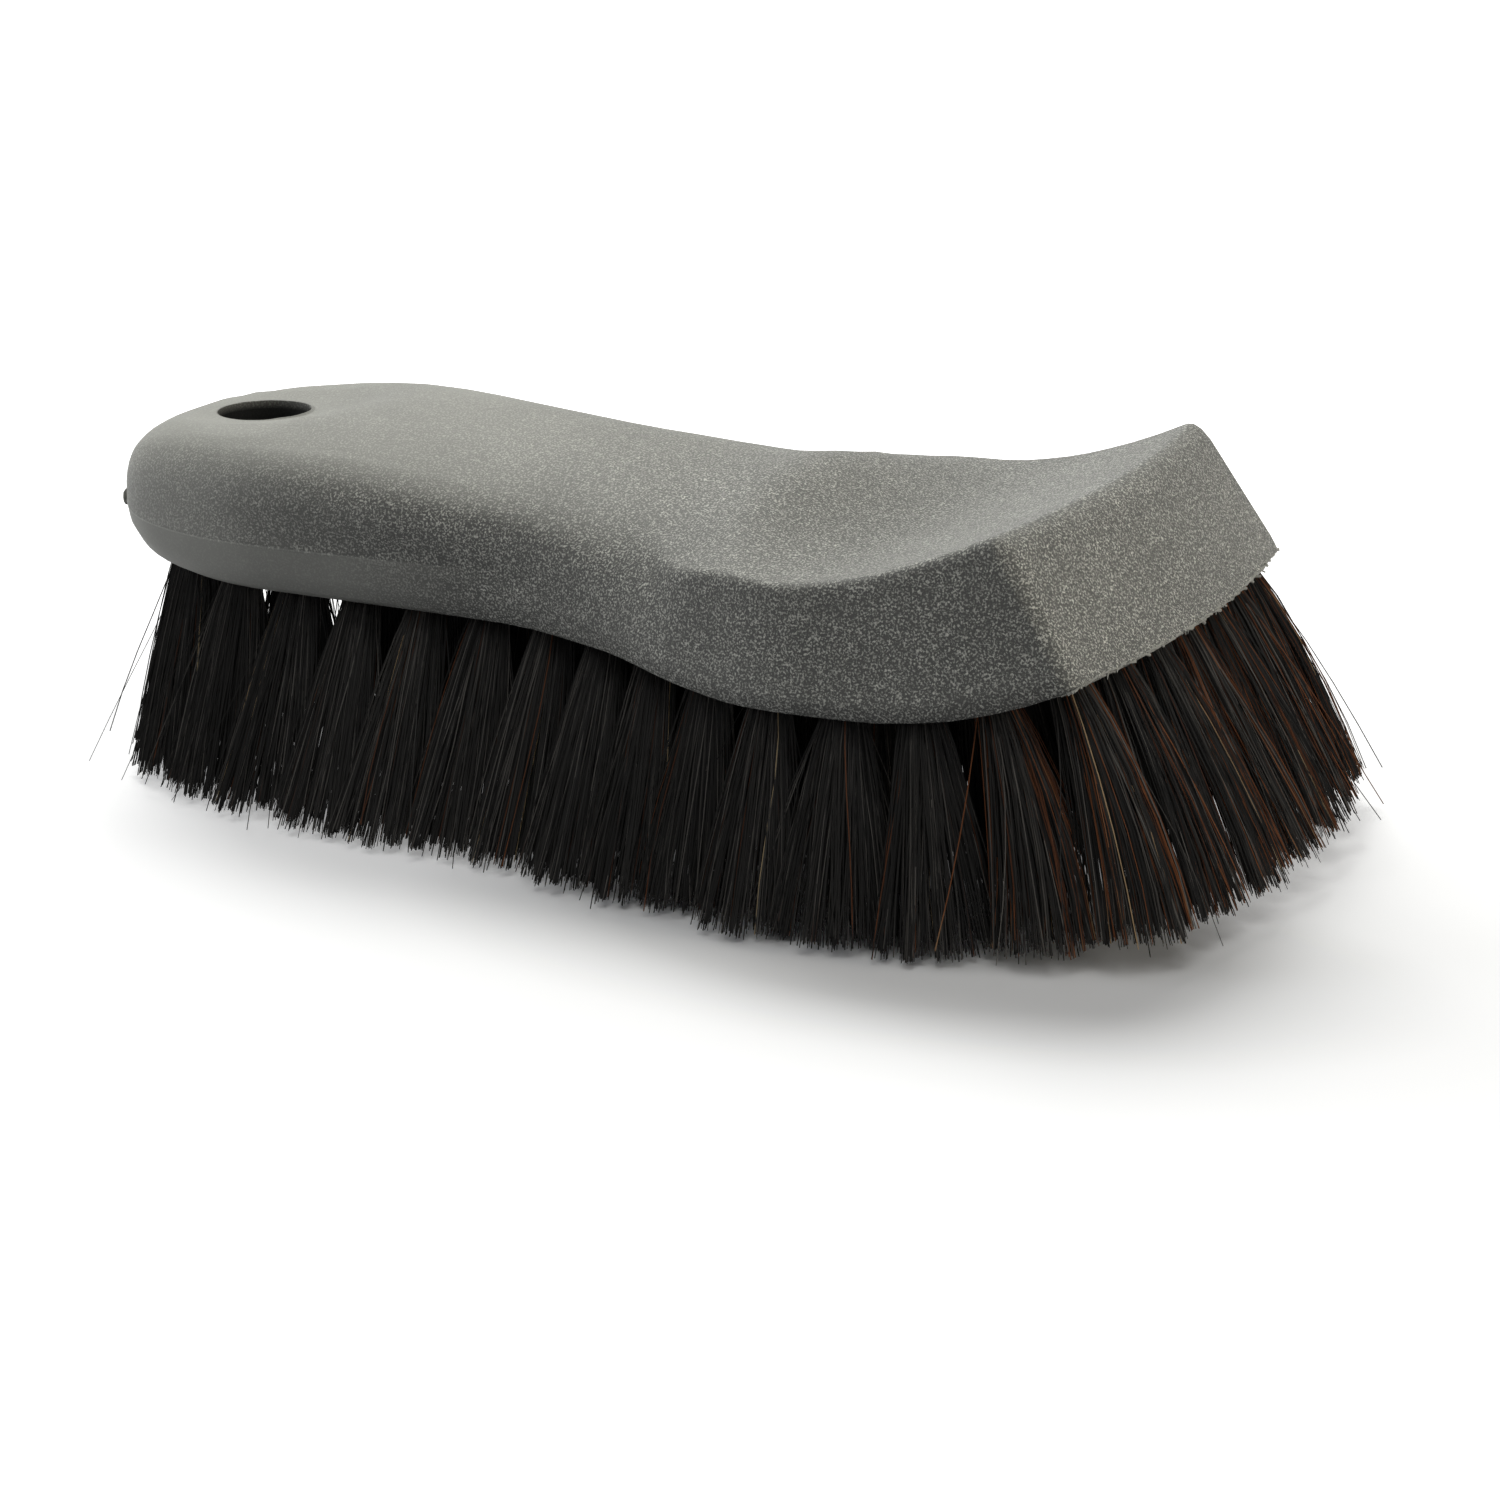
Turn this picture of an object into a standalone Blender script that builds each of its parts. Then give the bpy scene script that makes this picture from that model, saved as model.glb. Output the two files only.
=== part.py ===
"""Palm-grip horsehair cleaning brush: a one-piece moulded block with a
hanging hole and angled blind holes, and one hair tuft with its flat wire
anchor seated in each hole. Metres, +Z up, +X towards the wide head,
standing on the trimmed hair tips at z = 0."""

import math

import bmesh
import bpy
import numpy as np
from mathutils import Matrix, Vector

MM = 0.001

# Driving sizes of the moulded block
BLOCK_LENGTH = 158 * MM
TAIL_TO_CENTRE = 87.9 * MM
HANDLE_HALF_WIDTH = 25.2 * MM
HEAD_HALF_WIDTH = 40.2 * MM
TAIL_ROUND_LENGTH = 34 * MM
TAIL_ROUND_POWER = 2.6
HANDLE_ROUND_POWER = 2.3
TAIL_SECTION_POWER = 2.9
HANDLE_TOP = 54.2 * MM
FRONT_LIP_TOP = 52.2 * MM
SADDLE_TOP = 43.8 * MM
SADDLE_DISH = 0.4 * MM
SHOULDER_CROWN = 5.6 * MM
HANDLE_UNDERSIDE = 30.0 * MM
HEAD_UNDERSIDE = 27.5 * MM
TOE_LIFT = 7.0 * MM
CREASE_DIP = 2.2 * MM
CREASE_RADIUS = 1.6 * MM
SIDE_WALL_LEAN = 1.8 * MM
FRONT_SLANT = 0.66
FRONT_BULGE = 3.8 * MM
FRONT_EDGE_RADIUS = 1.8 * MM
FRONT_LIP_ROUND = 2.8 * MM
FRONT_FOOT_ROUND = 0.5 * MM
FRONT_EDGE_STEPS = 4
FLASH_HEIGHT = 0.15 * MM
FLASH_WIDTH = 0.5 * MM
PARTING_AT_TAIL = 7.6 * MM
PARTING_AT_HEAD = 2.0 * MM
TAIL_UNDERCUT = 5.0 * MM
HEAD_UNDERCUT = 0.6 * MM

# Hanging hole
HANG_HOLE_RADIUS = 6.8 * MM
HANG_HOLE_FROM_TAIL = 20.2 * MM
HANG_HOLE_RIM_ROUND = 0.7 * MM
HANG_HOLE_SIDES = 28
HANG_LAND_HEIGHT = 49.6 * MM
HANG_LAND_RADIUS = 8.2 * MM
HANG_LAND_SLOPE = 0.1
HANG_LAND_CURVE = 0.02 / MM
HANG_LAND_SOFTNESS = 0.9 * MM

# Tufts and the holes that they sit in
OUTER_TUFTS = 37
INNER_PITCH = 13.1 * MM
INNER_ROW_STEP = 11.8 * MM
INNER_ROWS_FROM_FRONT = 23.0 * MM
INNER_FROM_OUTER = 10.6 * MM
TUFT_EDGE_INSET = 4.3 * MM
FRONT_ROW_INSET = 4.9 * MM
TAIL_TUFT_ARC_RADIUS = 14.0 * MM
HANG_HOLE_CLEARANCE = 2.0 * MM
TUFT_HOLE_RADIUS = 2.5 * MM
TUFT_HOLE_DEPTH = 7.5 * MM
TUFT_HOLE_SIDES = 12
DRILL_BELOW = 2.5 * MM
SEAT_GAP = 0.3 * MM
STRANDS_PER_TUFT = 8
STRAND_INSET = 0.1 * MM
TIP_FAN_RADIUS = 3.9 * MM
TIP_HALF_WIDTH = 1.45 * MM
TIP_RAGGED = 0.8 * MM
FOLD_HEIGHT = 2.2 * MM
FOLD_NARROWING = 0.5 * MM
ANCHOR_INSET = 0.35 * MM
ANCHOR_PROUD = 0.35 * MM

# How far the outer hair tips stand outside their roots
SIDE_SPLAY_HANDLE = 13.5 * MM
SIDE_SPLAY_SHOULDER = 7.6 * MM
SIDE_SPLAY_HEAD = 10.5 * MM
SIDE_SPLAY_LOSS_AT_TAIL = 0.75
SIDE_SPLAY_LOSS_AT_TOE = 0.6
FRONT_SPLAY = 15.5 * MM
TAIL_SPLAY = 3.5 * MM
CORNER_SPLAY_LOSS = 0.35
TOE_TIP_LIFT = 3.0 * MM
TOE_HOLE_LEAN = 0.58

TAIL_STATIONS = 16
HANDLE_STATIONS = 10
SHOULDER_STATIONS = 9
HEAD_STATIONS = 9
SIDE_POINTS = 5
TOP_POINTS = 6
CREASE_POINTS = 4
LOWER_POINTS = 3
UNDERSIDE_POINTS = TOP_POINTS
PALM_FINE_POINTS = 60
OUTLINE_POINTS = 160
FRONT_ROW_STEPS = 12


def along(fraction):
    """World x of a place given as a fraction of the block's length from the tail."""
    return fraction * BLOCK_LENGTH - TAIL_TO_CENTRE


def fraction_at(x):
    return (x + TAIL_TO_CENTRE) / BLOCK_LENGTH


def ease(value, start, end):
    """Smooth step from 0 at start to 1 at end."""
    t = min(max((value - start) / (end - start), 0.0), 1.0)
    return t * t * (3 - 2 * t)


def smooth_curve(fraction, knots):
    """Value at a fraction of the length, on a smooth curve through the knots
    that never overshoots them."""
    xs = np.array([knot[0] for knot in knots])
    ys = np.array([knot[1] for knot in knots])
    steps = np.diff(xs)
    slopes = np.diff(ys) / steps
    tangents = np.zeros(len(xs))
    for i in range(1, len(xs) - 1):
        if slopes[i - 1] * slopes[i] > 0:
            tangents[i] = 2 * slopes[i - 1] * slopes[i] / (slopes[i - 1] + slopes[i])
    tangents[0] = slopes[0]
    tangents[-1] = slopes[-1]
    x = min(max(fraction, xs[0]), xs[-1])
    i = min(max(int(np.searchsorted(xs, x)) - 1, 0), len(steps) - 1)
    t = (x - xs[i]) / steps[i]
    value = (2 * t**3 - 3 * t**2 + 1) * ys[i] + (3 * t**2 - 2 * t**3) * ys[i + 1]
    value += (t**3 - 2 * t**2 + t) * steps[i] * tangents[i]
    value += (t**3 - t**2) * steps[i] * tangents[i + 1]
    return float(value)


def tail_rounding(fraction):
    """1 over the handle and head, falling to 0 at the end of the round tail."""
    reach = TAIL_ROUND_LENGTH / BLOCK_LENGTH
    u = max(reach - fraction, 0.0) / reach
    return max(1 - u**TAIL_ROUND_POWER, 0.0) ** (1 / TAIL_ROUND_POWER)


def widest_half_width(fraction):
    """Half width at the parting line, where the block is widest."""
    waist = HANDLE_HALF_WIDTH
    head = HEAD_HALF_WIDTH
    width = smooth_curve(fraction, (
        (0.0, waist), (0.45, waist), (0.553, waist + 0.28 * (head - waist)),
        (0.654, waist + 0.74 * (head - waist)), (0.755, head), (0.86, 0.99 * head), (1.0, 0.95 * head)))
    reach = TAIL_ROUND_LENGTH / BLOCK_LENGTH
    u = max(reach - fraction, 0.0) / reach
    return width * math.sqrt(max(1 - u * u, 0.0))


def underside_height(fraction):
    """Height of the drilled underside, with the toe swept up at the front."""
    handle = HANDLE_UNDERSIDE
    head = HEAD_UNDERSIDE
    return smooth_curve(fraction, (
        (0.0, handle), (0.35, handle), (0.56, handle - 0.2 * (handle - head)), (0.72, head),
        (0.82, head), (0.893, head + 0.18 * TOE_LIFT), (0.945, head + 0.5 * TOE_LIFT),
        (1.0, head + TOE_LIFT)))


def parting_height(fraction):
    """Height of the parting line, high on the tail and low on the head."""
    above = smooth_curve(fraction, (
        (0.0, PARTING_AT_TAIL), (0.3, 0.87 * PARTING_AT_TAIL), (0.45, 0.66 * PARTING_AT_TAIL),
        (0.66, PARTING_AT_HEAD), (1.0, PARTING_AT_HEAD)))
    return underside_height(fraction) + above


def crease_height(fraction):
    """Height of the crisp edge between the head's top and its side walls."""
    rise = FRONT_LIP_TOP - SADDLE_TOP
    return smooth_curve(fraction, (
        (0.5, SADDLE_TOP - CREASE_DIP), (0.6, SADDLE_TOP - CREASE_DIP), (0.69, SADDLE_TOP),
        (0.75, SADDLE_TOP - 0.03 * rise), (0.81, SADDLE_TOP + 0.07 * rise), (0.87, SADDLE_TOP + 0.24 * rise),
        (0.94, SADDLE_TOP + 0.56 * rise), (1.0, FRONT_LIP_TOP)))


def ridge_height(fraction):
    """Height of the top along the middle of the block."""
    drop = HANDLE_TOP - SADDLE_TOP
    rise = FRONT_LIP_TOP - SADDLE_TOP
    return smooth_curve(fraction, (
        (0.0, HANDLE_TOP - 0.2 * drop), (0.13, HANDLE_TOP - 0.17 * drop), (0.26, HANDLE_TOP - 0.06 * drop),
        (0.38, HANDLE_TOP - 0.18 * drop), (0.5, HANDLE_TOP - 0.35 * drop), (0.6, HANDLE_TOP - 0.49 * drop),
        (0.654, SADDLE_TOP + SHOULDER_CROWN), (0.69, SADDLE_TOP + 0.68 * SHOULDER_CROWN),
        (0.74, SADDLE_TOP + 0.15 * SHOULDER_CROWN), (0.79, SADDLE_TOP - SADDLE_DISH),
        (0.855, SADDLE_TOP - SADDLE_DISH + 0.21 * rise), (0.93, SADDLE_TOP - SADDLE_DISH + 0.58 * rise),
        (1.0, FRONT_LIP_TOP)))


def resample(points, count):
    """The polyline through points, as count + 1 points evenly spaced along it."""
    pts = np.array(points)
    lengths = np.concatenate([[0], np.cumsum(np.linalg.norm(np.diff(pts, axis=0), axis=1))])
    wanted = np.linspace(0, lengths[-1], count + 1)
    ys = np.interp(wanted, lengths, pts[:, 0])
    zs = np.interp(wanted, lengths, pts[:, 1])
    return list(zip(ys, zs))


def handle_upper(half, low, top, power):
    """Rounded palm section from the parting line up to the ridge: side, crease and top points."""
    curve = []
    for i in range(PALM_FINE_POINTS + 1):
        angle = math.pi / 2 * i / PALM_FINE_POINTS
        y = half * math.cos(angle) ** (2 / power)
        z = low + (top - low) * math.sin(angle) ** (2 / power)
        curve.append((y, z))
    side_end = round(0.43 * PALM_FINE_POINTS)
    crease_end = round(0.57 * PALM_FINE_POINTS)
    side = resample(curve[: side_end + 1], SIDE_POINTS)
    crease = resample(curve[side_end : crease_end + 1], CREASE_POINTS)
    crown = resample(curve[crease_end:], TOP_POINTS)
    return side + crease[1:] + crown[1:]


def head_upper(half, low, fraction):
    """Head section: leaning side wall, small round crease, dished top."""
    edge_half = half - SIDE_WALL_LEAN
    edge = crease_height(fraction)
    middle = ridge_height(fraction)
    radius = CREASE_RADIUS
    side = resample([(half, low), (edge_half, edge - radius)], SIDE_POINTS)
    crease = []
    for i in range(1, CREASE_POINTS + 1):
        angle = math.pi / 2 * i / CREASE_POINTS
        crease.append((edge_half - radius * (1 - math.cos(angle)), edge - radius * (1 - math.sin(angle))))
    inner = edge_half - radius
    crown = []
    for i in range(1, TOP_POINTS + 1):
        y = inner * (1 - i / TOP_POINTS)
        crown.append((y, middle + (edge - middle) * (y / inner) ** 2))
    return side + crease + crown


def section(fraction):
    """Right half of the section at a station, from the middle of the
    underside round to the middle of the top, as (y, z) points."""
    half = widest_half_width(fraction)
    parting = parting_height(fraction)
    rounding = tail_rounding(fraction)
    low = parting - (parting - underside_height(fraction)) * rounding
    top = parting + (ridge_height(fraction) - parting) * rounding
    headness = ease(fraction, 0.57, 0.66)
    undercut = smooth_curve(fraction, (
        (0.0, TAIL_UNDERCUT), (0.3, 0.5 * TAIL_UNDERCUT), (0.66, HEAD_UNDERCUT), (1.0, HEAD_UNDERCUT)))
    foot = half - min(undercut, 0.35 * half)
    points = [(foot * i / UNDERSIDE_POINTS, low) for i in range(UNDERSIDE_POINTS)]
    for i in range(LOWER_POINTS):
        angle = math.pi / 2 * (1 - i / LOWER_POINTS)
        points.append((foot + (half - foot) * math.cos(angle), parting - (parting - low) * math.sin(angle)))
    flash = min(FLASH_HEIGHT, 0.1 * half)
    points.append((half, parting - FLASH_WIDTH * rounding))
    points.append((half + flash, parting))
    seam = parting + FLASH_WIDTH * rounding
    power = TAIL_SECTION_POWER + (HANDLE_ROUND_POWER - TAIL_SECTION_POWER) * ease(fraction, 0.1, 0.45)
    palm = handle_upper(half, seam, top, power)
    if headness > 0:
        boxy = head_upper(half, seam, fraction)
        palm = [
            (p[0] * (1 - headness) + b[0] * headness, p[1] * (1 - headness) + b[1] * headness)
            for p, b in zip(palm, boxy)
        ]
    return points + palm


def hanging_dish(x, y):
    """Height of the shallow dish round the hanging hole, level at the rim."""
    out = max(math.hypot(x - hanging_hole_x(), y) - HANG_LAND_RADIUS, 0)
    return HANG_LAND_HEIGHT + HANG_LAND_SLOPE * out + HANG_LAND_CURVE * out**2


def softer_lower(a, b, softness):
    """The lower of two heights, with a rounded change from one to the other."""
    near = max(softness - abs(a - b), 0) / softness
    return min(a, b) - near**2 * softness / 4


def place(point, fraction):
    """World position of a section point: the front stations lean back and
    bulge, and the top is dished round the hanging hole."""
    y, z = point
    lean = ease(fraction, 0.70, 1.0)
    x = along(fraction) - lean * FRONT_SLANT * (z - underside_height(fraction))
    x += lean * FRONT_BULGE * (1 - (y / HEAD_HALF_WIDTH) ** 2)
    if z > parting_height(fraction) + HANG_LAND_SOFTNESS:
        z = softer_lower(z, hanging_dish(x, y), HANG_LAND_SOFTNESS)
    return Vector((x, y, z))


def ring(points, fraction):
    """Closed ring of positions: right half, then its mirror image."""
    right = [place(p, fraction) for p in points]
    left = [Vector((p.x, -p.y, p.z)) for p in right[1:-1]]
    return right + left[::-1]


def shrink(points, turned):
    """Section points moved inwards for the rounded rim of the front face.
    The share of each round that is turned goes from 0 to 1."""
    ys = np.array([p[0] for p in points])
    zs = np.array([p[1] for p in points])
    low = zs.min() + turned * FRONT_FOOT_ROUND
    high = zs.max() - turned * FRONT_LIP_ROUND
    wide = ys.max()
    ys_in = ys * (wide - turned * FRONT_EDGE_RADIUS) / wide
    zs_in = low + (zs - zs.min()) * (high - low) / (zs.max() - zs.min())
    return list(zip(ys_in, zs_in))


def stations():
    """Fractions of the length at which the block has a section."""
    reach = TAIL_ROUND_LENGTH / BLOCK_LENGTH
    tail = [reach * (1 - math.cos(math.pi / 2 * i / TAIL_STATIONS)) for i in range(1, TAIL_STATIONS + 1)]
    handle = list(np.linspace(reach, 0.55, HANDLE_STATIONS + 1)[1:])
    shoulder = list(np.linspace(0.55, 0.72, SHOULDER_STATIONS + 1)[1:])
    head = list(np.linspace(0.72, 1.0 - FRONT_EDGE_RADIUS / BLOCK_LENGTH, HEAD_STATIONS + 1)[1:])
    return tail + handle + shoulder + head


def block_rings():
    """All rings of the block from tail to front, ending in the rounded edge of the front face."""
    rings = [ring(section(f), f) for f in stations()]
    for step in range(1, FRONT_EDGE_STEPS + 1):
        angle = math.pi / 2 * step / FRONT_EDGE_STEPS
        f = 1 - FRONT_EDGE_RADIUS / BLOCK_LENGTH * (1 - math.sin(angle))
        rings.append(ring(shrink(section(f), 1 - math.cos(angle)), f))
    return rings


def close_tail(bm, first, tip):
    """Fan from the first ring to the point at the end of the tail."""
    for a, b in zip(first, first[1:] + first[:1]):
        bm.faces.new((tip, a, b))


def front_row(bm, last, row, count):
    """Vertices across the front face at one height, from the right edge to the
    left one. The bulge of the top and bottom rows carries over to the rows between."""
    top = len(last) // 2 - TOP_POINTS
    if row == 0:
        right = [last[UNDERSIDE_POINTS - j] for j in range(UNDERSIDE_POINTS + 1)]
        left = [last[-(UNDERSIDE_POINTS - j)] for j in range(UNDERSIDE_POINTS)]
        return right + left[::-1]
    if row == count:
        right = [last[top + j] for j in range(TOP_POINTS + 1)]
        left = [last[-(top + j)] for j in range(TOP_POINTS)]
        return right + left[::-1]
    edge = last[UNDERSIDE_POINTS + row]
    low_edge = last[UNDERSIDE_POINTS].co
    high_edge = last[top].co
    share = (edge.co.z - low_edge.z) / (high_edge.z - low_edge.z)
    right = [edge]
    for j in range(1, TOP_POINTS + 1):
        between = last[UNDERSIDE_POINTS - j].co.lerp(last[top + j].co, share)
        stray = edge.co - low_edge.lerp(high_edge, share)
        right.append(bm.verts.new(between + stray * (1 - j / TOP_POINTS)))
    left = [bm.verts.new((v.co.x, -v.co.y, v.co.z)) for v in right[1:-1]]
    return right + left[::-1] + [last[-(UNDERSIDE_POINTS + row)]]


def close_front(bm, last):
    """Front face as a bulged net of rows between its lower and upper edges."""
    count = len(last) // 2 - TOP_POINTS - UNDERSIDE_POINTS
    rows = [front_row(bm, last, row, count) for row in range(count + 1)]
    for low, high in zip(rows, rows[1:]):
        for i in range(len(low) - 1):
            bm.faces.new((low[i], high[i], high[i + 1], low[i + 1]))


def new_object(name, bm, material, collection):
    mesh = bpy.data.meshes.new(name)
    bmesh.ops.recalc_face_normals(bm, faces=bm.faces)
    bm.to_mesh(mesh)
    bm.free()
    obj = bpy.data.objects.new(name, mesh)
    collection.objects.link(obj)
    if material:
        mesh.materials.append(material)
    return obj


def make_material(name, colour, roughness, metallic=0.0):
    material = bpy.data.materials.new(name)
    material.use_nodes = True
    shader = material.node_tree.nodes["Principled BSDF"]
    shader.inputs["Base Color"].default_value = (*colour, 1)
    shader.inputs["Roughness"].default_value = roughness
    shader.inputs["Metallic"].default_value = metallic
    return material


def make_block(collection):
    """Moulded block as a loft through its sections."""
    bm = bmesh.new()
    rows = [[bm.verts.new(p) for p in positions] for positions in block_rings()]
    tip = bm.verts.new((along(0), 0, parting_height(0)))
    close_tail(bm, rows[0], tip)
    for row, following in zip(rows, rows[1:]):
        for i in range(len(row)):
            j = (i + 1) % len(row)
            bm.faces.new((row[i], row[j], following[j], following[i]))
    close_front(bm, rows[-1])
    plastic = make_material("grey_moulded_plastic", (0.07, 0.075, 0.07), 0.7)
    return new_object("moulded_block", bm, plastic, collection)


def hanging_hole_x():
    return along(0) + HANG_HOLE_FROM_TAIL


def add_cut(target, cutter, name):
    cut = target.modifiers.new(name, "BOOLEAN")
    cut.operation = "DIFFERENCE"
    cut.solver = "EXACT"
    cut.object = cutter


def round_sharp_edges(target):
    """Round the two rims of the hanging hole, the only sharp edges at this stage."""
    rim = target.modifiers.new("hole_rims", "BEVEL")
    rim.limit_method = "ANGLE"
    rim.angle_limit = math.radians(62)
    rim.width = HANG_HOLE_RIM_ROUND
    rim.segments = 2


def make_hanging_drill(collection):
    """Upright cylinder through the tail."""
    bm = bmesh.new()
    bmesh.ops.create_cone(
        bm, cap_ends=True, segments=HANG_HOLE_SIDES, radius1=HANG_HOLE_RADIUS,
        radius2=HANG_HOLE_RADIUS, depth=2 * HANDLE_TOP,
        matrix=Matrix.Translation((hanging_hole_x(), 0, HANDLE_TOP)))
    return new_object("hanging_hole_drill", bm, None, collection)


def foot_half_width(fraction):
    """Half width of the flat underside."""
    points = section(fraction)
    return points[UNDERSIDE_POINTS][0]


def front_row_x(y):
    """World x of the front row of tufts, which follows the bulge of the front edge."""
    return along(1) - FRONT_ROW_INSET + FRONT_BULGE * (1 - (y / HEAD_HALF_WIDTH) ** 2)


def root_outline():
    """Closed loop round the underside, set in from its edge, on which the outer tufts stand."""
    near = []
    first = (TAIL_UNDERCUT + TUFT_EDGE_INSET) / BLOCK_LENGTH
    corner = foot_half_width(1) - TUFT_EDGE_INSET
    for f in np.linspace(first, fraction_at(front_row_x(corner)), OUTLINE_POINTS):
        # the inset shrinks the tail's arc and the sides alike
        half = foot_half_width(f) - TUFT_EDGE_INSET
        half = min(half, math.sqrt((f - first) * BLOCK_LENGTH * 2 * TAIL_TUFT_ARC_RADIUS))
        near.append(Vector((along(f), -max(half, 0), 0)))
    for step in range(1, FRONT_ROW_STEPS + 1):
        y = -corner * (1 - step / FRONT_ROW_STEPS)
        near.append(Vector((front_row_x(y), y, 0)))
    far = [Vector((p.x, -p.y, 0)) for p in near[1:-1]]
    return near + far[::-1]


def spaced_round(loop, count):
    """A number of points evenly spaced round a closed loop, half a step either
    side of where the loop starts."""
    closed = loop + loop[:1]
    lengths = [0.0]
    for a, b in zip(closed, closed[1:]):
        lengths.append(lengths[-1] + (b - a).length)
    places = []
    for i in range(count):
        s = lengths[-1] * (i + 0.5) / count
        x = np.interp(s, lengths, [p.x for p in closed])
        y = np.interp(s, lengths, [p.y for p in closed])
        places.append((float(x), float(y)))
    return places


def inner_places(outer):
    """Staggered rows inside the outer loop, clear of it and of the hanging hole."""
    places = []
    first = along(1) - INNER_ROWS_FROM_FRONT
    from_hole = HANG_HOLE_RADIUS + TUFT_HOLE_RADIUS + HANG_HOLE_CLEARANCE
    rows = int((first - hanging_hole_x() - from_hole) / INNER_ROW_STEP) + 1
    columns = int(HEAD_HALF_WIDTH / INNER_PITCH) + 1
    for row in range(rows):
        x = first - row * INNER_ROW_STEP
        for column in range(-columns, columns + 1):
            y = (column + 0.5 * (row % 2)) * INNER_PITCH
            if abs(y) > foot_half_width(fraction_at(x)) - TUFT_EDGE_INSET:
                continue
            if min(math.hypot(x - p[0], y - p[1]) for p in outer) < INNER_FROM_OUTER:
                continue
            places.append((x, y))
    return places


def tuft_places():
    """Where each tuft meets the underside: the outer loop first, then the inner rows."""
    outer = spaced_round(root_outline(), OUTER_TUFTS)
    return outer + inner_places(outer)


def splay(x, y):
    """How far a tuft's tip stands from its root, in x and y."""
    f = fraction_at(x)
    reach = max(foot_half_width(f) - TUFT_EDGE_INSET, TUFT_EDGE_INSET)
    side = smooth_curve(f, (
        (0.0, SIDE_SPLAY_HANDLE), (0.53, SIDE_SPLAY_HANDLE), (0.69, SIDE_SPLAY_SHOULDER),
        (0.79, SIDE_SPLAY_HEAD), (1.0, SIDE_SPLAY_HEAD)))
    toe = ease(f, 0.7, 1.03)
    heel = 1 - ease(f, 0.05, 0.34)
    dx = FRONT_SPLAY * toe * (1 - CORNER_SPLAY_LOSS * (y / HEAD_HALF_WIDTH) ** 2) - TAIL_SPLAY * heel
    loss = SIDE_SPLAY_LOSS_AT_TAIL * heel + SIDE_SPLAY_LOSS_AT_TOE * toe
    dy = side * max(-1.0, min(y / reach, 1.0)) * (1 - loss)
    return dx, dy


def tip_height(x):
    """Height of the hair tips: trimmed level, and swept up a little under the toe."""
    return TOE_TIP_LIFT * ease(fraction_at(x), 0.88, 0.99)


def tuft_axis(x, y):
    """Root point on the underside and unit direction down its hole. At the toe
    the holes lie along the slanted front face."""
    z = underside_height(fraction_at(x))
    dx, dy = splay(x, y)
    toe = ease(fraction_at(x), 0.84, 0.98)
    lean = dx / z + (TOE_HOLE_LEAN - dx / z) * toe
    return Vector((x, y, z)), Vector((lean, dy / z, -1)).normalized()


def facing(direction):
    """Rotation that turns +Z to the direction, with its local X kept across the brush."""
    z = direction
    y = z.cross(Vector((1, 0, 0))).normalized()
    x = y.cross(z).normalized()
    return Matrix((x, y, z)).transposed().to_4x4()


def make_tuft_drills(places, collection):
    """All the angled blind holes of the underside, as one set of cylinders."""
    bm = bmesh.new()
    for x, y in places:
        root, axis = tuft_axis(x, y)
        middle = root + axis * (DRILL_BELOW - TUFT_HOLE_DEPTH) / 2
        bmesh.ops.create_cone(
            bm, cap_ends=True, segments=TUFT_HOLE_SIDES, radius1=TUFT_HOLE_RADIUS,
            radius2=TUFT_HOLE_RADIUS, depth=TUFT_HOLE_DEPTH + DRILL_BELOW,
            matrix=Matrix.Translation(middle) @ facing(axis))
    return new_object("tuft_hole_drills", bm, None, collection)


def bundle_radius():
    """Radius of the hair bundle, clear of the flats of the many-sided hole by the seat gap."""
    return TUFT_HOLE_RADIUS * math.cos(math.pi / TUFT_HOLE_SIDES) - SEAT_GAP


def bundle_ring(bm, centre, turned, radius):
    """Ring of vertices round a tuft's axis."""
    ring_verts = []
    for i in range(STRANDS_PER_TUFT):
        angle = 2 * math.pi * i / STRANDS_PER_TUFT
        offset = turned @ Vector((radius * math.cos(angle), radius * math.sin(angle), 0))
        ring_verts.append(bm.verts.new(centre + offset))
    return ring_verts


def bridge(bm, low, high):
    """Faces between two rings, one for each side."""
    faces = []
    for i in range(len(low)):
        j = (i + 1) % len(low)
        faces.append(bm.faces.new((low[i], high[i], high[j], low[j])))
    return faces


def add_anchor_ends(bm, fold_faces):
    """The two ends of the flat wire anchor, which stand out of opposite sides of the fold."""
    across = STRANDS_PER_TUFT // 4
    ends = [fold_faces[across], fold_faces[across + STRANDS_PER_TUFT // 2]]
    bmesh.ops.inset_individual(bm, faces=ends, thickness=ANCHOR_INSET, depth=0)
    for end in ends:
        out = end.normal.copy()
        made = bmesh.ops.extrude_discrete_faces(bm, faces=[end])["faces"][0]
        bmesh.ops.translate(bm, verts=made.verts, vec=out * ANCHOR_PROUD)


def strand_tip(root, axis, index, number):
    """Where one strand ends, fanned round the tuft's own tip."""
    dx, dy = splay(root.x, root.y)
    turn = 2 * math.pi * (index + 0.5) / STRANDS_PER_TUFT
    out = facing(axis) @ Vector((math.cos(turn), math.sin(turn), 0))
    spot = root + Vector((dx, dy, 0)) + Vector((out.x, out.y, 0)) * TIP_FAN_RADIUS
    spot.z = tip_height(root.x) + TIP_RAGGED * ((index * 5 + number * 3) % 4 == 0)
    return spot


def draw_strand(bm, foot, spot):
    """Pull one strand out of its foot down to its level tip."""
    made = bmesh.ops.extrude_discrete_faces(bm, faces=[foot])["faces"][0]
    middle = made.calc_center_median()
    size = max((vert.co - middle).length for vert in made.verts)
    for vert in made.verts:
        offset = (vert.co - middle) * (TIP_HALF_WIDTH / size)
        vert.co = Vector((spot.x + offset.x, spot.y + offset.y, spot.z))


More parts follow.
